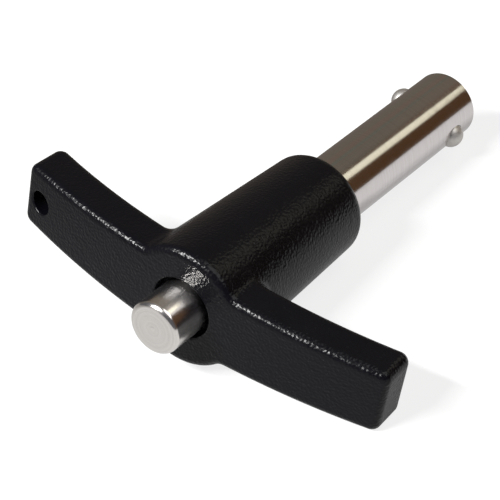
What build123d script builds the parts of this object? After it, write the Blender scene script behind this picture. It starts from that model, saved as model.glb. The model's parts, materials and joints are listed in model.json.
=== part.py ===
from build123d import *
import os
from math import atan, cos, degrees, hypot, radians, sin, sqrt

# Ball lock pin with a cast T-handle, in millimetres.
#
# Every piece is first drawn about the pin's own axis: +Y runs from the push button to the tip, the hub's
# front face crosses Y = 0, +X is the arm on the right of someone who holds the handle, and +Z is up.
# A "station" is a distance along that axis. The last section lays the finished pin down the way it comes
# to rest on a table, on its barrel and the end of one arm.

# ---------------------------------------------------------------- driving dimensions

# Handle: one casting, a tapered barrel and two arms that sweep back
BARREL_LENGTH = 40.1  # hub face to nose
BARREL_FRONT_RADIUS = 11.3
BARREL_NOSE_RADIUS = 9.6
BARREL_NOSE_ROUND = 2.25
ARM_REACH = 37.0  # pin axis to the end of an arm, along its front face
ARM_END_DRAFT = 0.4  # how far the end's back corner stands inside its front corner
ARM_HUB_HEIGHT = 15.0
ARM_END_HEIGHT = 12.4
ARM_HUB_THICKNESS = 7.75
ARM_END_THICKNESS = 8.15
ARM_END_SWEEP = 4.77  # how far the front face has swept back at the end
ARM_BACK_ROUND = 1.8
FRONT_ROUND = 1.4
HUB_BLEND = 2.5  # hollow fillet between an arm and the barrel
LANYARD_HOLE_RADIUS = 2.1
LANYARD_HOLE_INSET = 3.8  # arm end to hole axis
OPENING_ROUND = 0.35  # rims of the openings in the casting

# Handle bores, from the front
BUTTON_RECESS_RADIUS = 5.57
BUTTON_RECESS_DEPTH = 3.0
SPRING_CHAMBER_END = 20.0  # station of the shank's inner end

# Shank: one turned and ground tube
SHANK_RADIUS = 6.35  # 12.7 mm diameter
SHANK_TIP = 82.4
TIP_CHAMFER = 0.6
SPIGOT_RADIUS = 6.0  # the stretch pressed into the handle
BALL_END_RELIEF = 0.01  # on the radius, so that the closed-in socket rims stand below the grip
BALL_END_RUNOUT = 1.0  # length of the slope from the grip down to the relief
BALL_END_LEAD = 3.3  # relief start, ahead of the balls' centres
EDGE_BREAK = 0.3  # on turned edges

# Locking balls
BALL_RADIUS = 2.38
BALL_STATION = 75.6
BALL_STAND_OUT = 1.55  # beyond the grip when locked
BALL_SUNK = 0.03  # below the shank when released
BALL_TURN = -8.7  # degrees about the pin axis, from the right arm towards +Z

# Push button
BUTTON_RADIUS = 4.8
BUTTON_STAND_OUT = 7.2
BUTTON_LENGTH = 16.2
BUTTON_ROUND = 0.9
BUTTON_NIB_RADIUS = 0.4  # what the parting tool leaves at the middle of the face
BUTTON_NIB_HEIGHT = 0.12
BUTTON_TRAVEL = 4.0

# Spindle
STUB_RADIUS = 1.5  # its end, pressed into the button
STUB_LENGTH = 8.0
ROD_RADIUS = 1.9
LAND_RADIUS = 3.15  # guide land and locking land
GUIDE_LAND_LENGTH = 6.8
LOCKING_LAND_OVERRUN = 2.6  # spindle end, past the balls' centres

# Return spring
SPRING_WIRE_RADIUS = 0.25
SPRING_COIL_RADIUS = 3.2  # to the middle of the wire
SPRING_TURNS = 5.5  # between its seats

# Fits, on the radius or across the gap
GUIDE_CLEARANCE = 0.05  # button in its bore, lands in the shank
ROD_CLEARANCE = 0.2
SOCKET_CLEARANCE = 0.05  # ball in its socket
CAM_CLEARANCE = 0.02  # ball to ramp
NECK_CLEARANCE = 0.08  # released ball to neck and guide land
STOP_GAP = 0.02  # guide land to its stop

# ---------------------------------------------------------------- sizes that follow

barrel_taper = (BARREL_FRONT_RADIUS - BARREL_NOSE_RADIUS) / BARREL_LENGTH  # radius lost in each mm

guide_bore_radius = BUTTON_RADIUS + GUIDE_CLEARANCE
land_bore_radius = LAND_RADIUS + GUIDE_CLEARANCE
rod_bore_radius = ROD_RADIUS + ROD_CLEARANCE
socket_radius = BALL_RADIUS + SOCKET_CLEARANCE
seat_cone = SHANK_RADIUS - SPIGOT_RADIUS  # the step to the grip, a 45 degree cone in the nose

button_face = -BUTTON_STAND_OUT
button_back = button_face + BUTTON_LENGTH
ball_end_radius = SHANK_RADIUS - BALL_END_RELIEF
ball_end_start = BALL_STATION - BALL_END_LEAD

# How far each ball's centre stands from the pin axis, and how far it moves for each mm of button travel
ball_locked = SHANK_RADIUS + BALL_STAND_OUT - BALL_RADIUS
ball_released = ball_end_radius - BALL_SUNK - BALL_RADIUS
cam_slope = (ball_locked - ball_released) / BUTTON_TRAVEL

# The ramp is the straight line that a ball's surface follows as the spindle slides under it
cam_angle = atan(cam_slope)
cam_reach = BALL_RADIUS + CAM_CLEARANCE
cam_station = BALL_STATION + cam_reach * sin(cam_angle)
cam_radius = ball_locked - cam_reach * cos(cam_angle)
neck_radius = ball_released - BALL_RADIUS - NECK_CLEARANCE
ramp_top = cam_station - (cam_radius - LAND_RADIUS) / cam_slope
ramp_foot = cam_station - (cam_radius - neck_radius) / cam_slope
spindle_end = BALL_STATION + LOCKING_LAND_OVERRUN

# With the button in, the guide land stays just behind the balls
corner_reach = sqrt((BALL_RADIUS + NECK_CLEARANCE) ** 2 - (ball_released - LAND_RADIUS) ** 2)
guide_land_front = BALL_STATION - BUTTON_TRAVEL - corner_reach
guide_land_back = guide_land_front - GUIDE_LAND_LENGTH
land_bore_start = guide_land_back - STOP_GAP


# ---------------------------------------------------------------- helpers


def turned(*profile):
    """A solid turned about the pin axis from its half section, given as (radius, station) corners."""
    return revolve(make_face(Polyline(*profile, close=True)), Axis.Y)


def rod(radius, start, end):
    """A plain cylinder along the pin axis between two stations."""
    return turned((0, start), (radius, start), (radius, end), (0, end))


def slab(outline, depth):
    """A flat outline made this thick, half on each side of its plane, with no seam between."""
    face = outline.face()
    return extrude(face.translate(face.normal_at() * (-depth / 2)), depth)


def rims(solid, radius, station):
    """The circular edges about the pin axis that have this radius and station."""
    found = []
    for edge in solid.edges().filter_by(GeomType.CIRCLE):
        centre = edge.arc_center
        if hypot(edge.radius - radius, centre.X, centre.Y - station, centre.Z) < 1e-4:
            found.append(edge)
    return found


def facing_ball(side):
    """The place whose +Y runs from the pin axis out through a ball, side being +1 for the right, -1 for the left."""
    half_turn = 0 if side > 0 else 180
    return Pos(0, BALL_STATION, 0) * Rot(0, half_turn - BALL_TURN, 0) * Rot(0, 0, -90)


# ---------------------------------------------------------------- handle

FRONT_STOCK = 2.0  # metal ahead of the hub face, which the swept front face trims away
OVERRUN = 1.0  # how far a cutting outline runs past the metal it cuts


def barrel_blank():
    """The tapered barrel with its rounded nose, long at the front."""
    long_radius = BARREL_FRONT_RADIUS + barrel_taper * FRONT_STOCK
    cone = turned(
        (0, -FRONT_STOCK),
        (long_radius, -FRONT_STOCK),
        (BARREL_NOSE_RADIUS, BARREL_LENGTH),
        (0, BARREL_LENGTH),
    )
    rounded = fillet(rims(cone, BARREL_NOSE_RADIUS, BARREL_LENGTH), BARREL_NOSE_ROUND)
    return Rot(0, 90, 0) * rounded  # the round faces' seam lies underneath, clear of both arms


def arms_blank():
    """Both arms as one bar, long and flat at the front, with its back and ends rounded."""
    back_station = ARM_END_SWEEP + ARM_END_THICKNESS
    back_reach = ARM_REACH - ARM_END_DRAFT
    front_reach = ARM_REACH + ARM_END_DRAFT * (ARM_END_SWEEP + FRONT_STOCK) / ARM_END_THICKNESS
    front_corners = [(-front_reach, -FRONT_STOCK), (front_reach, -FRONT_STOCK)]
    back_corners = [(-back_reach, back_station), (back_reach, back_station)]
    front_and_ends = Polyline(back_corners[0], *front_corners, back_corners[1])
    back = ThreePointArc(back_corners[1], (0, ARM_HUB_THICKNESS), back_corners[0])
    plan = slab(make_face([front_and_ends, back]), 2 * ARM_HUB_HEIGHT)

    hub, end = ARM_HUB_HEIGHT / 2, ARM_END_HEIGHT / 2
    upper = [(-front_reach, end), (0, hub), (front_reach, end)]
    lower = [(x, -z) for x, z in reversed(upper)]
    elevation = Plane.XZ * make_face(Polyline(*upper, *lower, close=True))
    bar = plan & slab(elevation, 4 * back_station)
    behind_front = [e for e in bar.edges() if e.center().Y > -FRONT_STOCK + 1e-3 and not is_mid_line(e)]
    return fillet(behind_front, ARM_BACK_ROUND)


def is_mid_line(edge):
    """Whether an edge is the flat crease between the two arms' tapers, which the barrel covers."""
    return hypot((edge @ 0).X, (edge @ 1).X) < 1e-3


def behind_swept_front():
    """All the space behind the front face, which is one arc from arm end to arm end."""
    radius = (ARM_REACH**2 + ARM_END_SWEEP**2) / (2 * ARM_END_SWEEP)
    reach = ARM_REACH + OVERRUN
    station = radius - sqrt(radius**2 - reach**2)
    sweep = ThreePointArc((-reach, station), (0, 0), (reach, station))
    beyond = BARREL_LENGTH + OVERRUN
    around = Polyline((reach, station), (reach, beyond), (-reach, beyond), (-reach, station))
    return slab(make_face([sweep, around]), 4 * BARREL_FRONT_RADIUS)


def hub_corners(casting):
    """The inside corners where the arms meet the barrel's cone."""

    def in_corner(point):
        off_cone = abs(hypot(point.X, point.Z) - BARREL_FRONT_RADIUS + barrel_taper * point.Y)
        return off_cone < 1e-3 and abs(point.Z) < ARM_HUB_HEIGHT / 2 and point.Y < BARREL_LENGTH / 2

    places = (0, 0.25, 0.5, 0.75, 1)
    return [edge for edge in casting.edges() if all(in_corner(edge @ t) for t in places)]


def make_handle():
    """The casting: barrel and arms blended together, rounded all along the front, then bored."""
    casting = barrel_blank() + arms_blank()
    casting = fillet(hub_corners(casting), HUB_BLEND)
    casting = casting & behind_swept_front()
    front = casting.faces().sort_by(Axis.Y)[0]
    casting = fillet(front.outer_wire().edges(), FRONT_ROUND)

    mouth = SHANK_RADIUS + OVERRUN
    casting = casting - turned(
        (0, -OVERRUN),
        (BUTTON_RECESS_RADIUS, -OVERRUN),
        (BUTTON_RECESS_RADIUS, BUTTON_RECESS_DEPTH),
        (guide_bore_radius, BUTTON_RECESS_DEPTH),
        (guide_bore_radius, SPRING_CHAMBER_END),
        (SPIGOT_RADIUS, SPRING_CHAMBER_END),
        (SPIGOT_RADIUS, BARREL_LENGTH - seat_cone),
        (mouth, BARREL_LENGTH + OVERRUN),
        (0, BARREL_LENGTH + OVERRUN),
    )
    lanyard_hole = Pos(LANYARD_HOLE_INSET - ARM_REACH, 0, 0) * rod(LANYARD_HOLE_RADIUS, 0, BARREL_LENGTH)
    casting = casting - lanyard_hole
    front = casting.faces().sort_by(Axis.Y)[0]
    openings = [edge for wire in front.inner_wires() for edge in wire.edges()]
    back_rim = [e for e in casting.edges() if is_hole_rim(e) and e.center().Y > ARM_HUB_THICKNESS]
    return fillet(openings + back_rim, OPENING_ROUND)


def is_hole_rim(edge):
    """Whether an edge runs round the lanyard hole."""
    offsets = [hypot((edge @ t).X + ARM_REACH - LANYARD_HOLE_INSET, (edge @ t).Z) for t in (0, 0.25, 0.5)]
    return edge.geom_type != GeomType.LINE and all(abs(r - LANYARD_HOLE_RADIUS) < 1e-3 for r in offsets)


# ---------------------------------------------------------------- shank and balls


def make_shank():
    """The tube: spigot, grip and ball end outside, a rod bore and a wider land bore inside."""
    tube = turned(
        (rod_bore_radius, SPRING_CHAMBER_END),
        (SPIGOT_RADIUS - EDGE_BREAK, SPRING_CHAMBER_END),
        (SPIGOT_RADIUS, SPRING_CHAMBER_END + EDGE_BREAK),
        (SPIGOT_RADIUS, BARREL_LENGTH - seat_cone),
        (SHANK_RADIUS, BARREL_LENGTH),
        (SHANK_RADIUS, ball_end_start - BALL_END_RUNOUT),
        (ball_end_radius, ball_end_start),
        (ball_end_radius, SHANK_TIP - TIP_CHAMFER),
        (ball_end_radius - TIP_CHAMFER, SHANK_TIP),
        (land_bore_radius + EDGE_BREAK, SHANK_TIP),
        (land_bore_radius, SHANK_TIP - EDGE_BREAK),
        (land_bore_radius, land_bore_start),
        (rod_bore_radius, land_bore_start),
    )
    for side in (1, -1):
        tube = tube - socket(side)
    return tube


def socket(side):
    """The space for one ball: a bore from inside that closes in round the ball at the shank's surface."""
    crown = ball_locked + socket_radius
    round_end = ThreePointArc(
        (socket_radius, ball_locked),
        (socket_radius * cos(radians(45)), ball_locked + socket_radius * sin(radians(45))),
        (0, crown),
    )
    sides = Polyline((0, crown), (0, 0), (socket_radius, 0), (socket_radius, ball_locked))
    return facing_ball(side) * revolve(make_face([round_end, sides]), Axis.Y)


def make_ball(side):
    """One steel ball in its locked place."""
    return facing_ball(side) * Pos(0, ball_locked, 0) * Sphere(BALL_RADIUS)


# ---------------------------------------------------------------- button, spindle and spring


def make_button():
    """The turned push button, with the nib of the parting tool and a blind bore for the spindle's stub."""
    body = rod(BUTTON_RADIUS, button_face, button_back)
    body = fillet(rims(body, BUTTON_RADIUS, button_face), BUTTON_ROUND)
    body = chamfer(rims(body, BUTTON_RADIUS, button_back), EDGE_BREAK)
    nib = rod(BUTTON_NIB_RADIUS, button_face - BUTTON_NIB_HEIGHT, button_face + BUTTON_NIB_HEIGHT)
    return body + nib - rod(STUB_RADIUS, button_back - STUB_LENGTH, button_back)


def make_spindle():
    """The rod with its guide land, neck, ramp and locking land."""
    return turned(
        (0, button_back - STUB_LENGTH),
        (STUB_RADIUS, button_back - STUB_LENGTH),
        (STUB_RADIUS, button_back),
        (ROD_RADIUS, button_back),
        (ROD_RADIUS, guide_land_back),
        (LAND_RADIUS, guide_land_back),
        (LAND_RADIUS, guide_land_front),
        (neck_radius, guide_land_front),
        (neck_radius, ramp_foot),
        (LAND_RADIUS, ramp_top),
        (LAND_RADIUS, spindle_end - EDGE_BREAK),
        (LAND_RADIUS - EDGE_BREAK, spindle_end),
        (0, spindle_end),
    )


def make_spring():
    """An open coil spring, its ends ground flat against the button and the shank.

    The wire's round section is drawn with six flats, which keeps so fine a coil light.
    """
    seat_to_seat = SPRING_CHAMBER_END - button_back
    before_grinding = seat_to_seat + 2 * SPRING_WIRE_RADIUS
    upright = Helix(seat_to_seat / SPRING_TURNS, before_grinding, SPRING_COIL_RADIUS)
    section = Plane(origin=upright @ 0, z_dir=upright % 0) * RegularPolygon(SPRING_WIRE_RADIUS, 6)
    coil = Pos(0, button_back - SPRING_WIRE_RADIUS, 0) * Rot(-90, 0, 0) * sweep(
        section, path=upright, is_frenet=True
    )
    return coil & rod(2 * SPRING_COIL_RADIUS, button_back, SPRING_CHAMBER_END)


# ---------------------------------------------------------------- laid down at rest


def resting_roll(handle, lean):
    """How far the pin rolls on its barrel, in degrees, before the end of the right arm touches the table."""
    right_arm = handle & Pos(ARM_REACH, 0, 0) * Box(ARM_REACH, 4 * BARREL_LENGTH, 4 * BARREL_LENGTH)
    table = -BARREL_FRONT_RADIUS * cos(lean)
    level, over = 0.0, 45.0
    for _ in range(24):
        roll = (level + over) / 2
        low = (Rot(-degrees(lean), 0, 0) * Rot(0, roll, 0) * right_arm).bounding_box().min.Z
        level, over = (roll, over) if low > table else (level, roll)
    return level


pieces = {
    "handle": make_handle(),
    "shank": make_shank(),
    "lock_ball_right": make_ball(1),
    "lock_ball_left": make_ball(-1),
    "button": make_button(),
    "spindle": make_spindle(),
    "return_spring": make_spring(),
}

# The barrel's taper lies flat on the table, so the tip leans down; the right arm's end is the third foot
lean = atan(barrel_taper)
roll = resting_roll(pieces["handle"], lean)
tilted = Rot(-degrees(lean), 0, 0) * Rot(0, roll, 0)
boxes = [(tilted * piece).bounding_box() for piece in pieces.values()]
lows = [min(getattr(box.min, side) for box in boxes) for side in "XYZ"]
highs = [max(getattr(box.max, side) for box in boxes) for side in "XYZ"]
at_rest = Pos(-(lows[0] + highs[0]) / 2, -(lows[1] + highs[1]) / 2, -lows[2]) * tilted

os.makedirs("parts", exist_ok=True)
for name, piece in pieces.items():
    export_step(at_rest * piece, f"parts/{name}.step")
print(f"lean {degrees(lean):.3f} degrees, roll {roll:.3f} degrees")
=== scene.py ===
import json
import logging
import math
from dataclasses import dataclass, field
from enum import Enum
from typing import Any

import bmesh
import bpy
from mathutils import Matrix, Vector


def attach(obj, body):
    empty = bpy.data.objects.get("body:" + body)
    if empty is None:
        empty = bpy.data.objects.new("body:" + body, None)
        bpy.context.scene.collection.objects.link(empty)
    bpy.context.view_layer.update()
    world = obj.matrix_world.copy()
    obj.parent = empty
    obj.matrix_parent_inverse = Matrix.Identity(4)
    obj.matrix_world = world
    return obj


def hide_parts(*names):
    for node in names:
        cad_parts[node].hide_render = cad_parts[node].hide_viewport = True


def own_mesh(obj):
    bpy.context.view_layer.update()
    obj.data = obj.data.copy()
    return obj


MM = 0.001
# Sockets by number, where a node has several of one name
COLOUR_A, COLOUR_B, COLOUR_OUT = 6, 7, 2
COMPARE_TOLERANCE = 12
LOG = logging.getLogger("ball_lock_pin")

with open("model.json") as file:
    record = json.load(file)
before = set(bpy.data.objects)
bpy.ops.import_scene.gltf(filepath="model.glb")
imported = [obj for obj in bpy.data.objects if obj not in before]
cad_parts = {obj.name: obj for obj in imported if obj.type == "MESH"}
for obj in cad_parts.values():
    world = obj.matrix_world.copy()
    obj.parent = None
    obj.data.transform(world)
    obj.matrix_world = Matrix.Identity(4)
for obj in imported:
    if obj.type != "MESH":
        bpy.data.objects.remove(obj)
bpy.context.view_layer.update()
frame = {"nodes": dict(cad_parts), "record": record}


# ---------------------------------------------------------------- helpers


def linear(hex_colour: str) -> tuple[float, float, float, float]:
    """Turns an sRGB hex colour into linear light.

    Args:
        hex_colour: the colour as "#rrggbb".

    Returns:
        Linear red, green, blue, and an alpha of 1.
    """
    channels = []
    for start in (1, 3, 5):
        value = int(hex_colour[start : start + 2], 16) / 255
        channels.append(value / 12.92 if value <= 0.04045 else ((value + 0.055) / 1.055) ** 2.4)
    return channels[0], channels[1], channels[2], 1.0


def add_node(
    tree: bpy.types.NodeTree,
    kind: str,
    inputs: dict[Any, Any] | None = None,
    **settings: Any,
) -> bpy.types.Node:
    """Adds one node with its settings and what feeds it.

    Args:
        tree: the shader or geometry tree it goes in.
        kind: Blender's name for the node type.
        inputs: for each input socket's name or number, a value or the output socket that feeds it.
        settings: the node's own properties.

    Returns:
        The new node.
    """
    node = tree.nodes.new(kind)
    for name, value in settings.items():
        setattr(node, name, value)
    for key, value in (inputs or {}).items():
        if isinstance(value, bpy.types.NodeSocket):
            tree.links.new(value, node.inputs[key])
        else:
            node.inputs[key].default_value = value
    return node


def link_object(name: str, mesh: bpy.types.Mesh) -> bpy.types.Object:
    """Puts a mesh in the scene as an object at the origin.

    Args:
        name: the object's name.
        mesh: its mesh, with its place in it.

    Returns:
        The new object.
    """
    piece = bpy.data.objects.new(name, mesh)
    bpy.context.scene.collection.objects.link(piece)
    return piece


def report(piece: bpy.types.Object) -> None:
    """Says how many faces a finished piece has."""
    LOG.info("%s: %d faces", piece.name, len(piece.data.polygons))


def new_material(name: str) -> bpy.types.Material:
    """Makes a material with an empty node tree.

    Args:
        name: what it is, and how its surface was made.

    Returns:
        The material, with no nodes yet.
    """
    made = bpy.data.materials.new(name)
    made.use_nodes = True
    made.node_tree.nodes.clear()
    return made


def dress(name: str, finish: bpy.types.Material) -> None:
    """Gives a CAD node its finish.

    Args:
        name: the node's name in the frame.
        finish: the material that it shows.
    """
    node = frame["nodes"][name]
    node.data.materials.clear()
    node.data.materials.append(finish)
    report(node)


# ---------------------------------------------------------------- the pin's own axes


@dataclass(frozen=True)
class PinFrame:
    """The pin's own axes as it lies at rest: X to the right arm, Y from button to tip, Z up.

    A station is a distance along Y from the hub's front face.
    """

    barrel_length: float = 40.1 * MM
    origin: Vector = field(default_factory=Vector)
    turn: Matrix = field(default_factory=lambda: Matrix.Identity(3))

    @classmethod
    def from_record(cls, record: dict[str, Any]) -> "PinFrame":
        """Works out the axes from the record's mounts.

        Args:
            record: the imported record.

        Returns:
            The pin's axes in the row frame.
        """
        mounts = {mount["name"]: mount for mount in record["mounts"]}
        along = Vector(mounts["grip"]["axis"]).normalized()
        nose = Vector(mounts["nose_face"]["pos_m"])
        off_axis = nose - Vector(mounts["grip"]["pos_m"])
        off_axis -= along * off_axis.dot(along)
        up = off_axis.normalized()
        turn = Matrix((along.cross(up), along, up)).transposed()
        origin = nose - off_axis - along * cls.barrel_length
        return cls(origin=origin, turn=turn)

    def matrix(self) -> Matrix:
        """The placement that takes the pin's own coordinates to the row frame."""
        return Matrix.Translation(self.origin) @ self.turn.to_4x4()

    def point(self, right: float, station: float, up: float) -> Vector:
        """A point given in the pin's own coordinates, in the row frame."""
        return self.matrix() @ Vector((right, station, up))

    def shader_coordinates(self, tree: bpy.types.NodeTree) -> bpy.types.NodeSocket:
        """Adds the nodes that give a point in the pin's own coordinates, in millimetres.

        Args:
            tree: the material's tree.

        Returns:
            The socket with that point.
        """
        here = add_node(tree, "ShaderNodeTexCoord")
        back = self.turn.transposed()
        aligned = add_node(
            tree,
            "ShaderNodeMapping",
            {
                "Vector": here.outputs["Object"],
                "Location": back @ -self.origin,
                "Rotation": back.to_euler(),
            },
            vector_type="POINT",
        )
        scaled = add_node(
            tree,
            "ShaderNodeVectorMath",
            {0: aligned.outputs["Vector"], "Scale": 1 / MM},
            operation="SCALE",
        )
        return scaled.outputs["Vector"]


# ---------------------------------------------------------------- finishes


class Grain(Enum):
    """Which way a metal's machining marks run."""

    AROUND = "around the pin axis"
    CROSSED = "every way"


@dataclass(frozen=True)
class CastingCoat:
    """Black baked enamel sprayed on a die-cast aluminium handle.

    The coat follows the casting's skin, so it is semi-gloss with orange peel about a millimetre
    across. A finer grit breaks a highlight into sparks. The real grit is finer still, and is drawn
    as coarse as it needs to show. Enamel's IOR is nearer 1.5, and the lower one gives the depth of
    this black.
    """

    name: str = "black_enamel_on_die_cast_aluminium"
    colour: str = "#06060a"
    colour_thick: str = "#08080d"
    ior: float = 1.30
    roughness_low: float = 0.25
    roughness_high: float = 0.31
    patch_size_mm: float = 6.25
    patch_range: tuple[float, float] = (0.3, 0.7)
    peel_size_mm: float = 1.3
    grit_size_mm: float = 0.45
    peel_height_mm: float = 0.04
    grit_height_mm: float = 0.085

    def material(self, pin: PinFrame) -> bpy.types.Material:
        """Builds the enamel.

        Args:
            pin: the pin's axes.

        Returns:
            The material.
        """
        made = new_material(self.name)
        tree = made.node_tree
        point = pin.shader_coordinates(tree)
        thickness = add_node(
            tree,
            "ShaderNodeTexNoise",
            {"Vector": point, "Scale": 1 / self.patch_size_mm, "Detail": 3.0, "Roughness": 0.6},
        )
        peel = add_node(
            tree,
            "ShaderNodeTexNoise",
            {"Vector": point, "Scale": 1 / self.peel_size_mm, "Detail": 1.5, "Roughness": 0.5},
        )
        grit = add_node(
            tree,
            "ShaderNodeTexNoise",
            {"Vector": point, "Scale": 1 / self.grit_size_mm, "Detail": 0.0},
        )
        colour = add_node(
            tree,
            "ShaderNodeMix",
            {
                "Factor": thickness.outputs["Fac"],
                COLOUR_A: linear(self.colour),
                COLOUR_B: linear(self.colour_thick),
            },
            data_type="RGBA",
        )
        gloss = add_node(
            tree,
            "ShaderNodeMapRange",
            {
                "Value": thickness.outputs["Fac"],
                "From Min": self.patch_range[0],
                "From Max": self.patch_range[1],
                "To Min": self.roughness_low,
                "To Max": self.roughness_high,
            },
        )
        peel_bump = add_node(
            tree,
            "ShaderNodeBump",
            {"Height": peel.outputs["Fac"], "Strength": 1.0, "Distance": self.peel_height_mm * MM},
        )
        grit_bump = add_node(
            tree,
            "ShaderNodeBump",
            {
                "Height": grit.outputs["Fac"],
                "Strength": 1.0,
                "Distance": self.grit_height_mm * MM,
                "Normal": peel_bump.outputs["Normal"],
            },
        )
        enamel = add_node(
            tree,
            "ShaderNodeBsdfPrincipled",
            {
                "Base Color": colour.outputs[COLOUR_OUT],
                "Roughness": gloss.outputs["Result"],
                "IOR": self.ior,
                "Normal": grit_bump.outputs["Normal"],
            },
        )
        add_node(tree, "ShaderNodeOutputMaterial", {"Surface": enamel.outputs["BSDF"]})
        return made


@dataclass(frozen=True)
class MachinedSteel:
    """Stainless or bearing steel after turning, grinding or polishing.

    The tool leaves fine marks, which spread a reflection a little across them, and handling leaves
    a few faint smudges where the roughness rises. Real marks are too shallow to show here, so they
    are drawn deeper.
    """

    name: str
    colour: str = "#d8d3d2"
    colour_dull: str = "#cbc6c4"
    roughness_low: float = 0.12
    roughness_high: float = 0.18
    mark_pitch_mm: float = 0.12
    mark_height_mm: float = 0.0006
    marks_drawn_deeper: float = 4.0
    smudges_per_mm: float = 0.35
    smudge_range: tuple[float, float] = (0.12, 0.40)
    ring_pitch_mm: float = 0.45
    ring_range: tuple[float, float] = (0.35, 0.65)
    drawn_out: float = 0.0
    tangent_tilt: float = 0.05
    grain: Grain = Grain.AROUND

    def material(self, pin: PinFrame) -> bpy.types.Material:
        """Builds the steel.

        Args:
            pin: the pin's axes.

        Returns:
            The material.
        """
        made = new_material(self.name)
        tree = made.node_tree
        point = pin.shader_coordinates(tree)
        axes = add_node(tree, "ShaderNodeSeparateXYZ", {"Vector": point})
        across = add_node(
            tree, "ShaderNodeCombineXYZ", {"X": axes.outputs["X"], "Y": axes.outputs["Z"]}
        )
        radius = add_node(
            tree, "ShaderNodeVectorMath", {0: across.outputs["Vector"]}, operation="LENGTH"
        )
        # Marks that run around the axis change with the radius and the station, not with the turn
        around = add_node(
            tree,
            "ShaderNodeCombineXYZ",
            {"X": radius.outputs["Value"], "Y": axes.outputs["Y"]},
        )
        follows = around.outputs["Vector"] if self.grain is Grain.AROUND else point
        marks = add_node(
            tree,
            "ShaderNodeTexNoise",
            {"Vector": follows, "Scale": 1 / self.mark_pitch_mm, "Detail": 3.0, "Roughness": 0.7},
        )
        smudge = add_node(
            tree,
            "ShaderNodeTexNoise",
            {"Vector": point, "Scale": self.smudges_per_mm, "Detail": 4.0, "Roughness": 0.6},
        )
        dull = add_node(
            tree,
            "ShaderNodeMath",
            {0: marks.outputs["Fac"], 1: smudge.outputs["Fac"]},
            operation="MULTIPLY",
        )
        gloss = add_node(
            tree,
            "ShaderNodeMapRange",
            {
                "Value": dull.outputs["Value"],
                "From Min": self.smudge_range[0],
                "From Max": self.smudge_range[1],
                "To Min": self.roughness_low,
                "To Max": self.roughness_high,
            },
        )
        rings = add_node(
            tree,
            "ShaderNodeTexNoise",
            {"Vector": follows, "Scale": 1 / self.ring_pitch_mm, "Detail": 1.0, "Roughness": 0.5},
        )
        shade = add_node(
            tree,
            "ShaderNodeMapRange",
            {
                "Value": rings.outputs["Fac"],
                "From Min": self.ring_range[0],
                "From Max": self.ring_range[1],
            },
        )
        mottle = add_node(
            tree,
            "ShaderNodeMath",
            {0: shade.outputs["Result"], 1: smudge.outputs["Fac"]},
            operation="MULTIPLY",
        )
        colour = add_node(
            tree,
            "ShaderNodeMix",
            {
                "Factor": mottle.outputs["Value"],
                COLOUR_A: linear(self.colour),
                COLOUR_B: linear(self.colour_dull),
            },
            data_type="RGBA",
        )
        bump = add_node(
            tree,
            "ShaderNodeBump",
            {
                "Height": marks.outputs["Fac"],
                "Strength": 1.0,
                "Distance": self.mark_height_mm * MM * self.marks_drawn_deeper,
            },
        )
        steel = add_node(
            tree,
            "ShaderNodeBsdfPrincipled",
            {
                "Base Color": colour.outputs[COLOUR_OUT],
                "Metallic": 1.0,
                "Roughness": gloss.outputs["Result"],
                "Anisotropic": self.drawn_out,
                "Normal": bump.outputs["Normal"],
            },
        )
        # Marks around the axis draw a highlight out along it. The tilt keeps the tangent off the
        # normal of a face that is square to the axis
        along = pin.turn @ Vector((self.tangent_tilt, 1.0, 0.0))
        axis = add_node(tree, "ShaderNodeCombineXYZ", {"X": along.x, "Y": along.y, "Z": along.z})
        tree.links.new(axis.outputs["Vector"], steel.inputs["Tangent"])
        add_node(tree, "ShaderNodeOutputMaterial", {"Surface": steel.outputs["BSDF"]})
        return made


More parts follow.
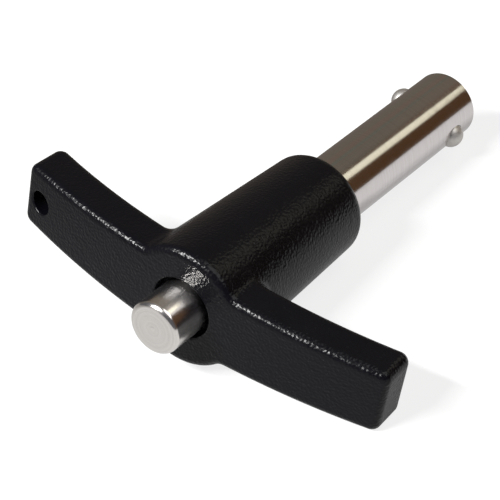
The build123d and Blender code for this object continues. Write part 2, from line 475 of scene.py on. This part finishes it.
@dataclass(frozen=True)
class PaperSweep:
    """Matt white background paper under the pin, lit to white, with the pin's soft shadow on it.

    In the steel it is whitest in front and on the right. Towards the back left, and partly towards
    the left, it gives way to a painted reflection: a dim brown glow that only reflections see.
    Each fade runs from one place on the floor to another, in metres.
    """

    name: str = "matt_white_background_paper"
    colour: str = "#7e7e7e"
    roughness: float = 0.6
    # Painted reflection: the dim brown glow that reflections see in place of the paper
    painted_reflection_colour: str = "#706860"
    seen_glow: float = 0.80
    mirrored_glow: float = 0.44
    left_fade: tuple[float, float] = (-0.006, -0.016)
    back_fade: tuple[float, float] = (-0.005, 0.015)
    # Towards the left the painted reflection takes over part of the paper, up to this share
    painted_reflection_left_fade: tuple[float, float] = (-0.014, -0.060)
    painted_reflection_left_loss: float = 0.65

    def material(self) -> bpy.types.Material:
        """Builds the paper.

        Returns:
            The material.
        """
        made = new_material(self.name)
        tree = made.node_tree
        path = add_node(tree, "ShaderNodeLightPath")
        here = add_node(tree, "ShaderNodeTexCoord")
        axes = add_node(tree, "ShaderNodeSeparateXYZ", {"Vector": here.outputs["Object"]})
        leftness = add_node(
            tree,
            "ShaderNodeMapRange",
            {
                "Value": axes.outputs["X"],
                "From Min": self.left_fade[0],
                "From Max": self.left_fade[1],
            },
        )
        backness = add_node(
            tree,
            "ShaderNodeMapRange",
            {
                "Value": axes.outputs["Y"],
                "From Min": self.back_fade[0],
                "From Max": self.back_fade[1],
            },
        )
        # Mask of the painted reflection at the back left
        back_left = add_node(
            tree,
            "ShaderNodeMath",
            {0: leftness.outputs["Result"], 1: backness.outputs["Result"]},
            operation="MULTIPLY",
        )
        glossy = add_node(
            tree,
            "ShaderNodeMath",
            {0: path.outputs["Is Glossy Ray"], 1: path.outputs["Is Transmission Ray"]},
            operation="MAXIMUM",
        )
        # The painted reflection also takes over part of the paper towards the left
        painted_reflection_left = add_node(
            tree,
            "ShaderNodeMapRange",
            {
                "Value": axes.outputs["X"],
                "From Min": self.painted_reflection_left_fade[0],
                "From Max": self.painted_reflection_left_fade[1],
                "To Max": self.painted_reflection_left_loss,
            },
        )
        painted_reflection_mask = add_node(
            tree,
            "ShaderNodeMath",
            {0: back_left.outputs["Value"], 1: painted_reflection_left.outputs["Result"]},
            operation="MAXIMUM",
        )
        painted_reflection_in_mirror = add_node(
            tree,
            "ShaderNodeMath",
            {0: painted_reflection_mask.outputs["Value"], 1: glossy.outputs["Value"]},
            operation="MULTIPLY",
        )
        in_mirror = add_node(
            tree,
            "ShaderNodeMath",
            {0: glossy.outputs["Value"], 1: self.mirrored_glow},
            operation="MULTIPLY",
        )
        strength = add_node(
            tree,
            "ShaderNodeMath",
            {0: path.outputs["Is Camera Ray"], 1: self.seen_glow, 2: in_mirror.outputs["Value"]},
            operation="MULTIPLY_ADD",
        )
        matt = add_node(
            tree,
            "ShaderNodeBsdfDiffuse",
            {"Color": linear(self.colour), "Roughness": self.roughness},
        )
        glow = add_node(
            tree,
            "ShaderNodeEmission",
            {"Color": (1.0, 1.0, 1.0, 1.0), "Strength": strength.outputs["Value"]},
        )
        both = add_node(
            tree, "ShaderNodeAddShader", {0: matt.outputs["BSDF"], 1: glow.outputs["Emission"]}
        )
        # Painted reflection: a dim brown glow in place of the paper where the masks say, seen only
        # in reflections
        room = add_node(
            tree, "ShaderNodeEmission", {"Color": linear(self.painted_reflection_colour), "Strength": 1.0}
        )
        seen = add_node(
            tree,
            "ShaderNodeMixShader",
            {0: painted_reflection_in_mirror.outputs["Value"], 1: both.outputs["Shader"], 2: room.outputs["Emission"]},
        )
        add_node(tree, "ShaderNodeOutputMaterial", {"Surface": seen.outputs["Shader"]})
        return made


# ---------------------------------------------------------------- sub-assemblies


@dataclass
class Handle:
    """The cast T-handle. Its shape is the CAD casting's own, so it only needs its enamel."""

    pin: PinFrame
    coat: CastingCoat = field(default_factory=CastingCoat)

    def build(self) -> None:
        """Coats the casting."""
        dress("handle", self.coat.material(self.pin))


@dataclass
class ShankAndLock:
    """The ground shank with the lock in it: two balls and the spindle that drives them."""

    pin: PinFrame
    shank_steel: MachinedSteel = field(
        default_factory=lambda: MachinedSteel("centreless_ground_stainless_steel")
    )
    ball_steel: MachinedSteel = field(
        default_factory=lambda: MachinedSteel(
            "lapped_bearing_steel",
            colour="#d6d3cf",
            colour_dull="#cbc7c2",
            roughness_low=0.46,
            roughness_high=0.56,
            mark_height_mm=0.0002,
            grain=Grain.CROSSED,
        )
    )
    spindle_steel: MachinedSteel = field(
        default_factory=lambda: MachinedSteel(
            "turned_hardened_steel", colour="#b9b5b0", roughness_low=0.2, roughness_high=0.34
        )
    )

    def build(self) -> None:
        """Dresses the CAD nodes of the shank, the balls and the spindle."""
        ball = self.ball_steel.material(self.pin)
        finishes = {
            "shank": self.shank_steel.material(self.pin),
            "lock_ball_right": ball,
            "lock_ball_left": ball,
            "spindle": self.spindle_steel.material(self.pin),
        }
        for name, steel in finishes.items():
            dress(name, steel)


@dataclass
class PushButton:
    """The turned push button, lathed from its half section, with the facing tool's rings."""

    pin: PinFrame
    radius: float = 4.8 * MM
    face_station: float = -7.2 * MM
    length: float = 16.2 * MM
    rim_round: float = 0.9 * MM
    rim_steps: int = 8
    back_chamfer: float = 0.3 * MM
    nib_radius: float = 0.5 * MM
    nib_height: float = 0.04 * MM
    nib_steps: int = 6
    bore_radius: float = 1.5 * MM
    bore_depth: float = 8.0 * MM
    lathe_steps: int = 144
    weld_distance: float = 1e-7
    ring_pitch: float = 0.45 * MM
    ring_depth: float = 0.008 * MM
    ring_steps: int = 8
    ring_margin: float = 0.01 * MM
    face_tolerance: float = 1e-6
    smooth_angle: float = 35.0
    steel: MachinedSteel = field(
        default_factory=lambda: MachinedSteel(
            "turned_stainless_steel",
            colour="#efebe7",
            colour_dull="#dedad6",
            roughness_low=0.19,
            roughness_high=0.24,
            mark_height_mm=0.0008,
            drawn_out=0.75,
        )
    )

    def half_section(self) -> list[tuple[float, float]]:
        """The outline from the middle of the face round to the bottom of the bore.

        Returns:
            (radius, station) points.
        """
        face, back = self.face_station, self.face_station + self.length
        section = [
            (self.nib_radius * math.sin(angle), face - self.nib_height * math.cos(angle))
            for angle in (math.radians(90 * i / self.nib_steps) for i in range(self.nib_steps + 1))
        ]
        rim_start = self.radius - self.rim_round
        radius = self.nib_radius
        step = self.ring_pitch / self.ring_steps
        while radius + step < rim_start - step / 2:
            radius += step
            section.append((radius, face))
        for i in range(self.rim_steps + 1):
            angle = math.radians(90 * i / self.rim_steps)
            section.append(
                (
                    rim_start + self.rim_round * math.sin(angle),
                    face + self.rim_round * (1 - math.cos(angle)),
                )
            )
        section += [
            (self.radius, back - self.back_chamfer),
            (self.radius - self.back_chamfer, back),
            (self.bore_radius, back),
            (self.bore_radius, back - self.bore_depth),
            (0.0, back - self.bore_depth),
        ]
        return section

    def blank(self) -> bpy.types.Mesh:
        """Turns the half section about the pin axis.

        Returns:
            A closed mesh in the pin's own coordinates.
        """
        shape = bmesh.new()
        corners = [shape.verts.new((r, y, 0.0)) for r, y in self.half_section()]
        edges = [shape.edges.new(pair) for pair in zip(corners, corners[1:])]
        bmesh.ops.spin(
            shape,
            geom=corners + edges,
            cent=(0, 0, 0),
            axis=(0, 1, 0),
            angle=math.tau,
            steps=self.lathe_steps,
            use_merge=True,
        )
        bmesh.ops.remove_doubles(shape, verts=shape.verts, dist=self.weld_distance)
        bmesh.ops.recalc_face_normals(shape, faces=shape.faces)
        mesh = bpy.data.meshes.new("push_button")
        shape.to_mesh(mesh)
        shape.free()
        return mesh

    def facing_rings(self) -> bpy.types.NodeTree:
        """Makes the tree that cuts the facing tool's rings into the front face.

        Returns:
            A geometry tree with named inputs for the rings' sizes.
        """
        tree, given = growth(
            "facing_rings",
            ("Ring Pitch", "Ring Depth", "Inner Radius", "Outer Radius", "Face Station"),
        )
        place = add_node(tree, "GeometryNodeInputPosition")
        axes = add_node(tree, "ShaderNodeSeparateXYZ", {"Vector": place.outputs["Position"]})
        across = add_node(
            tree, "ShaderNodeCombineXYZ", {"X": axes.outputs["X"], "Y": axes.outputs["Z"]}
        )
        radius = add_node(
            tree, "ShaderNodeVectorMath", {0: across.outputs["Vector"]}, operation="LENGTH"
        )
        turns = add_node(
            tree,
            "ShaderNodeMath",
            {0: radius.outputs["Value"], 1: given.outputs["Ring Pitch"]},
            operation="DIVIDE",
        )
        phase = add_node(
            tree,
            "ShaderNodeMath",
            {0: turns.outputs["Value"], 1: math.tau},
            operation="MULTIPLY",
        )
        wave = add_node(tree, "ShaderNodeMath", {0: phase.outputs["Value"]}, operation="COSINE")
        # One-sided, so that the rings only take metal away
        cut = add_node(
            tree, "ShaderNodeMath", {0: 1.0, 1: wave.outputs["Value"]}, operation="SUBTRACT"
        )
        depth = add_node(
            tree,
            "ShaderNodeMath",
            {0: cut.outputs["Value"], 1: given.outputs["Ring Depth"]},
            operation="MULTIPLY",
        )
        outside_nib = add_node(
            tree,
            "FunctionNodeCompare",
            {0: radius.outputs["Value"], 1: given.outputs["Inner Radius"]},
            data_type="FLOAT",
            operation="GREATER_THAN",
        )
        inside_rim = add_node(
            tree,
            "FunctionNodeCompare",
            {0: radius.outputs["Value"], 1: given.outputs["Outer Radius"]},
            data_type="FLOAT",
            operation="LESS_THAN",
        )
        on_face = add_node(
            tree,
            "FunctionNodeCompare",
            {
                0: axes.outputs["Y"],
                1: given.outputs["Face Station"],
                COMPARE_TOLERANCE: self.face_tolerance,
            },
            data_type="FLOAT",
            operation="EQUAL",
        )
        ringed = add_node(
            tree,
            "FunctionNodeBooleanMath",
            {0: outside_nib.outputs["Result"], 1: inside_rim.outputs["Result"]},
            operation="AND",
        )
        chosen = add_node(
            tree,
            "FunctionNodeBooleanMath",
            {0: ringed.outputs["Boolean"], 1: on_face.outputs["Result"]},
            operation="AND",
        )
        shift = add_node(tree, "ShaderNodeCombineXYZ", {"Y": depth.outputs["Value"]})
        moved = add_node(
            tree,
            "GeometryNodeSetPosition",
            {
                "Geometry": given.outputs["Geometry"],
                "Selection": chosen.outputs["Boolean"],
                "Offset": shift.outputs["Vector"],
            },
        )
        finish_growth(tree, given, moved.outputs["Geometry"])
        return tree

    def build(self) -> bpy.types.Object:
        """Lathes, faces, dresses and seats the button.

        Returns:
            The finished piece.
        """
        sizes = {
            "Ring Pitch": self.ring_pitch,
            # One less a cosine runs from 0 to 2, so this is half of what it takes away
            "Ring Depth": self.ring_depth / 2,
            "Inner Radius": self.nib_radius + self.ring_margin,
            "Outer Radius": self.radius - self.rim_round - self.ring_margin,
            "Face Station": self.face_station,
            "Material": self.steel.material(self.pin),
        }
        mesh = grown(self.blank(), self.facing_rings(), sizes)
        mesh.transform(self.pin.matrix())
        smooth_by_angle(mesh, self.smooth_angle)
        piece = link_object("push_button", mesh)
        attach(piece, "plunger")
        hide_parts("button")
        report(piece)
        return piece


@dataclass
class ReturnSpring:
    """The coil spring between the button and the shank, wound along a helix with closed ends."""

    pin: PinFrame
    wire_radius: float = 0.25 * MM
    coil_radius: float = 3.2 * MM
    start: float = 9.0 * MM
    end: float = 20.0 * MM
    active_turns: float = 5.0
    closed_gap: float = 0.05 * MM
    steps_per_turn: int = 48
    wire_sides: int = 12
    smooth_angle: float = 50.0
    travel: float = 4.0 * MM
    wire: MachinedSteel = field(
        default_factory=lambda: MachinedSteel(
            "drawn_spring_steel_wire",
            colour="#a8a6a3",
            colour_dull="#8f8c88",
            roughness_low=0.25,
            roughness_high=0.4,
            grain=Grain.CROSSED,
        )
    )

    def winding(self) -> bpy.types.NodeTree:
        """Makes the tree that winds a round wire along the helix.

        Returns:
            A geometry tree with named inputs for the coil's sizes.
        """
        tree, given = growth(
            "coil_winding",
            ("Coil Radius", "Wire Radius", "Active Turns", "Active Pitch", "Closed Pitch"),
        )
        # One closed turn at each end, on top of the active ones
        turns = add_node(
            tree, "ShaderNodeMath", {0: given.outputs["Active Turns"], 1: 2.0}, operation="ADD"
        )
        circle = add_node(
            tree,
            "GeometryNodeCurveSpiral",
            {
                "Resolution": self.steps_per_turn,
                "Rotations": turns.outputs["Value"],
                "Start Radius": given.outputs["Coil Radius"],
                "End Radius": given.outputs["Coil Radius"],
                "Height": 0.0,
            },
        )
        along = add_node(tree, "GeometryNodeSplineParameter")
        wound = add_node(
            tree,
            "ShaderNodeMath",
            {0: along.outputs["Factor"], 1: turns.outputs["Value"]},
            operation="MULTIPLY",
        )
        first = add_node(
            tree, "ShaderNodeMath", {0: wound.outputs["Value"], 1: 1.0}, operation="MINIMUM"
        )
        rest = add_node(
            tree, "ShaderNodeMath", {0: wound.outputs["Value"], 1: 1.0}, operation="SUBTRACT"
        )
        rest_kept = add_node(
            tree, "ShaderNodeMath", {0: rest.outputs["Value"], 1: 0.0}, operation="MAXIMUM"
        )
        active = add_node(
            tree,
            "ShaderNodeMath",
            {0: rest_kept.outputs["Value"], 1: given.outputs["Active Turns"]},
            operation="MINIMUM",
        )
        last = add_node(
            tree,
            "ShaderNodeMath",
            {0: rest_kept.outputs["Value"], 1: active.outputs["Value"]},
            operation="SUBTRACT",
        )
        closed_turns = add_node(
            tree,
            "ShaderNodeMath",
            {0: first.outputs["Value"], 1: last.outputs["Value"]},
            operation="ADD",
        )
        closed_rise = add_node(
            tree,
            "ShaderNodeMath",
            {0: closed_turns.outputs["Value"], 1: given.outputs["Closed Pitch"]},
            operation="MULTIPLY",
        )
        rise = add_node(
            tree,
            "ShaderNodeMath",
            {
                0: active.outputs["Value"],
                1: given.outputs["Active Pitch"],
                2: closed_rise.outputs["Value"],
            },
            operation="MULTIPLY_ADD",
        )
        lift = add_node(tree, "ShaderNodeCombineXYZ", {"Z": rise.outputs["Value"]})
        helix = add_node(
            tree,
            "GeometryNodeSetPosition",
            {"Geometry": circle.outputs["Curve"], "Offset": lift.outputs["Vector"]},
        )
        section = add_node(
            tree,
            "GeometryNodeCurvePrimitiveCircle",
            {"Resolution": self.wire_sides, "Radius": given.outputs["Wire Radius"]},
        )
        coil = add_node(
            tree,
            "GeometryNodeCurveToMesh",
            {
                "Curve": helix.outputs["Geometry"],
                "Profile Curve": section.outputs["Curve"],
                "Fill Caps": True,
            },
        )
        finish_growth(tree, given, coil.outputs["Mesh"])
        return tree

    def build(self) -> bpy.types.Object:
        """Winds, dresses and seats the spring.

        Returns:
            The finished piece.
        """
        closed_pitch = 2 * self.wire_radius + self.closed_gap
        wound_length = self.end - self.start - 2 * self.wire_radius
        sizes = {
            "Coil Radius": self.coil_radius,
            "Wire Radius": self.wire_radius,
            "Active Turns": self.active_turns,
            "Active Pitch": (wound_length - 2 * closed_pitch) / self.active_turns,
            "Closed Pitch": closed_pitch,
            "Material": self.wire.material(self.pin),
        }
        mesh = grown(bpy.data.meshes.new("return_coil"), self.winding(), sizes)
        # The helix is wound about Z from 0, and the spring lies along the pin axis
        along_pin = Matrix.Rotation(-math.pi / 2, 4, "X")
        seat = Matrix.Translation((0, self.start + self.wire_radius, 0))
        mesh.transform(self.pin.matrix() @ seat @ along_pin)
        smooth_by_angle(mesh, self.smooth_angle)
        piece = link_object("return_coil", mesh)
        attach(piece, "pin_body")
        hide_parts("return_spring")
        tuple(self.pin.point(0, self.end, 0))
        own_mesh(piece)
        report(piece)
        return piece


def growth(name: str, sizes: tuple[str, ...]) -> tuple[bpy.types.NodeTree, bpy.types.Node]:
    """Starts a geometry tree.

    Args:
        name: the tree's name.
        sizes: the names of its inputs, apart from the geometry and the material.

    Returns:
        The tree and its input node.
    """
    tree = bpy.data.node_groups.new(name, "GeometryNodeTree")
    face = tree.interface
    face.new_socket("Geometry", in_out="INPUT", socket_type="NodeSocketGeometry")
    for size in sizes:
        face.new_socket(size, in_out="INPUT", socket_type="NodeSocketFloat")
    face.new_socket("Material", in_out="INPUT", socket_type="NodeSocketMaterial")
    face.new_socket("Geometry", in_out="OUTPUT", socket_type="NodeSocketGeometry")
    return tree, add_node(tree, "NodeGroupInput")


def finish_growth(
    tree: bpy.types.NodeTree, given: bpy.types.Node, shape: bpy.types.NodeSocket
) -> None:
    """Ends a geometry tree with real geometry in the material it is given.

    Args:
        tree: the tree.
        given: its input node.
        shape: the socket with the finished shape.
    """
    real = add_node(tree, "GeometryNodeRealizeInstances", {"Geometry": shape})
    dressed = add_node(
        tree,
        "GeometryNodeSetMaterial",
        {"Geometry": real.outputs["Geometry"], "Material": given.outputs["Material"]},
    )
    add_node(tree, "NodeGroupOutput", {"Geometry": dressed.outputs["Geometry"]})


def grown(
    mesh: bpy.types.Mesh, tree: bpy.types.NodeTree, sizes: dict[str, Any]
) -> bpy.types.Mesh:
    """Runs a geometry tree on a mesh and keeps the result as a plain mesh.

    Args:
        mesh: what the tree starts from.
        tree: the geometry tree.
        sizes: a value for each of the tree's named inputs.

    Returns:
        The evaluated mesh.
    """
    holder = link_object(mesh.name, mesh)
    modifier = holder.modifiers.new(tree.name, "NODES")
    modifier.node_group = tree
    for item in tree.interface.items_tree:
        if item.in_out == "INPUT" and item.name in sizes:
            modifier[item.identifier] = sizes[item.name]
    graph = bpy.context.evaluated_depsgraph_get()
    result = bpy.data.meshes.new_from_object(holder.evaluated_get(graph), depsgraph=graph)
    holder.modifiers.remove(modifier)
    bpy.data.objects.remove(holder)
    return result


def smooth_by_angle(mesh: bpy.types.Mesh, degrees: float) -> None:
    """Shades a mesh smooth, apart from the edges that bend by more than this angle."""
    mesh.shade_smooth()
    mesh.set_sharp_from_angle(angle=math.radians(degrees))


# ---------------------------------------------------------------- studio


@dataclass(frozen=True)
class SoftBox:
    """One soft lamp that faces the pin."""

    name: str
    azimuth: float
    elevation: float
    distance: float
    width: float
    height: float
    radiance: float
    colour: str = "#ffffff"
    turn: float = 0.0

    def light(self, aim: Vector) -> None:
        """Hangs the lamp.

        Args:
            aim: the point it faces.
        """
        lamp = bpy.data.lights.new(self.name, "AREA")
        lamp.shape = "RECTANGLE"
        lamp.size, lamp.size_y = self.width, self.height
        lamp.energy = self.radiance * self.width * self.height * math.pi
        lamp.color = linear(self.colour)[:3]
        holder = bpy.data.objects.new(self.name, lamp)
        bpy.context.scene.collection.objects.link(holder)
        outward = direction(self.azimuth, self.elevation)
        holder.location = aim + outward * self.distance
        facing = outward.to_track_quat("Z", "Y").to_matrix()
        turned = Matrix.Rotation(math.radians(self.turn), 3, "Z")
        holder.rotation_euler = (facing @ turned).to_euler()
        holder.visible_camera = False


def direction(azimuth: float, elevation: float) -> Vector:
    """The way from the pin to an onlooker.

    Args:
        azimuth: degrees round the pin, 0 in front (-Y) and 90 on the right (+X).
        elevation: degrees above the floor.

    Returns:
        A vector of length 1.
    """
    turn, rise = math.radians(azimuth), math.radians(elevation)
    level = math.cos(rise)
    return Vector((math.sin(turn) * level, -math.cos(turn) * level, math.sin(rise)))


@dataclass
class Studio:
    """White paper, a dim room, soft lamps and the camera."""

    pin: PinFrame
    aim_mm: tuple[float, float, float] = (-0.307, -17.834, 11.0)
    camera_azimuth: float = 35.499
    camera_elevation: float = 37.533
    camera_distance: float = 354.7 * MM
    camera_roll: float = 0.944
    lens: float = 151.41
    sensor_width: float = 36.0
    clip: tuple[float, float] = (0.01, 10.0)
    room_front: str = "#5a5a5e"
    room_back_left: str = "#7a685c"
    room_back_left_cool: str = "#686c62"
    room_back_right: str = "#543c28"
    room_right_fade: tuple[float, float] = (0.0, 0.4)
    room_front_fade: tuple[float, float] = (0.45, -0.25)
    room_patch_scale: float = 7.0
    room_patch_range: tuple[float, float] = (0.38, 0.62)
    paper_size: float = 3.0
    lamps: tuple[SoftBox, ...] = (
        SoftBox("key_strip", -25.0, 42.0, 1.1, 0.52, 0.085, 175.0, "#ffffff", 23.0),
        SoftBox("fill_softbox", 110.0, 62.0, 0.6, 0.40, 0.40, 2.0),
        SoftBox("warm_strip", 152.0, 42.0, 0.5, 0.115, 0.30, 1.15, "#f4f4dc", 20.0),
    )

    def build(self) -> None:
        """Lays the paper, lights the room and sets the camera."""
        aim = Vector(self.aim_mm) * MM
        self.lay_paper()
        self.light_room()
        for lamp in self.lamps:
            lamp.light(aim)
        self.set_camera(aim)
        bpy.context.scene.view_settings.view_transform = "Standard"

    def lay_paper(self) -> None:
        """Puts the paper under the pin."""
        half = self.paper_size / 2
        mesh = bpy.data.meshes.new("paper")
        corners = [(-half, -half, 0), (half, -half, 0), (half, half, 0), (-half, half, 0)]
        mesh.from_pydata(corners, [], [(0, 1, 2, 3)])
        mesh.materials.append(PaperSweep().material())
        paper = link_object("paper", mesh)

    def light_room(self) -> None:
        """Makes the room bright behind the camera and dim beyond the pin, browner on the right."""
        world = bpy.data.worlds.new("studio_room")
        bpy.context.scene.world = world
        world.use_nodes = True
        tree = world.node_tree
        tree.nodes.clear()
        way = add_node(tree, "ShaderNodeTexCoord")
        axes = add_node(tree, "ShaderNodeSeparateXYZ", {"Vector": way.outputs["Generated"]})
        rightness = add_node(
            tree,
            "ShaderNodeMapRange",
            {
                "Value": axes.outputs["X"],
                "From Min": self.room_right_fade[0],
                "From Max": self.room_right_fade[1],
            },
        )
        frontness = add_node(
            tree,
            "ShaderNodeMapRange",
            {
                "Value": axes.outputs["Y"],
                "From Min": self.room_front_fade[0],
                "From Max": self.room_front_fade[1],
            },
        )
        patches = add_node(
            tree,
            "ShaderNodeTexNoise",
            {
                "Vector": way.outputs["Generated"],
                "Scale": self.room_patch_scale,
                "Detail": 2.0,
                "Roughness": 0.5,
            },
        )
        patchy = add_node(
            tree,
            "ShaderNodeMapRange",
            {
                "Value": patches.outputs["Fac"],
                "From Min": self.room_patch_range[0],
                "From Max": self.room_patch_range[1],
            },
        )
        left = add_node(
            tree,
            "ShaderNodeMix",
            {
                "Factor": patchy.outputs["Result"],
                COLOUR_A: linear(self.room_back_left),
                COLOUR_B: linear(self.room_back_left_cool),
            },
            data_type="RGBA",
        )
        beyond = add_node(
            tree,
            "ShaderNodeMix",
            {
                "Factor": rightness.outputs["Result"],
                COLOUR_A: left.outputs[COLOUR_OUT],
                COLOUR_B: linear(self.room_back_right),
            },
            data_type="RGBA",
        )
        walls = add_node(
            tree,
            "ShaderNodeMix",
            {
                "Factor": frontness.outputs["Result"],
                COLOUR_A: beyond.outputs[COLOUR_OUT],
                COLOUR_B: linear(self.room_front),
            },
            data_type="RGBA",
        )
        room = add_node(
            tree, "ShaderNodeBackground", {"Color": walls.outputs[COLOUR_OUT], "Strength": 1.0}
        )
        add_node(tree, "ShaderNodeOutputWorld", {"Surface": room.outputs["Background"]})

    def set_camera(self, aim: Vector) -> None:
        """Sets the camera.

        Args:
            aim: the point at the middle of the view.
        """
        data = bpy.data.cameras.new("camera")
        data.lens = self.lens
        data.sensor_width = self.sensor_width
        data.clip_start, data.clip_end = self.clip
        camera = bpy.data.objects.new("camera", data)
        bpy.context.scene.collection.objects.link(camera)
        outward = direction(self.camera_azimuth, self.camera_elevation)
        camera.location = aim + outward * self.camera_distance
        level = outward.to_track_quat("Z", "Y").to_matrix().to_4x4()
        rolled = Matrix.Rotation(math.radians(self.camera_roll), 4, "Z")
        camera.rotation_euler = (level @ rolled).to_euler()
        bpy.context.scene.camera = camera


def main() -> None:
    """Builds the pin's visible pieces and the studio round them."""
    logging.basicConfig(level=logging.INFO, format="%(name)s %(message)s")
    pin = PinFrame.from_record(frame["record"])
    Handle(pin).build()
    ShankAndLock(pin).build()
    PushButton(pin).build()
    ReturnSpring(pin).build()
    Studio(pin).build()


if __name__ == "__main__":
    main()
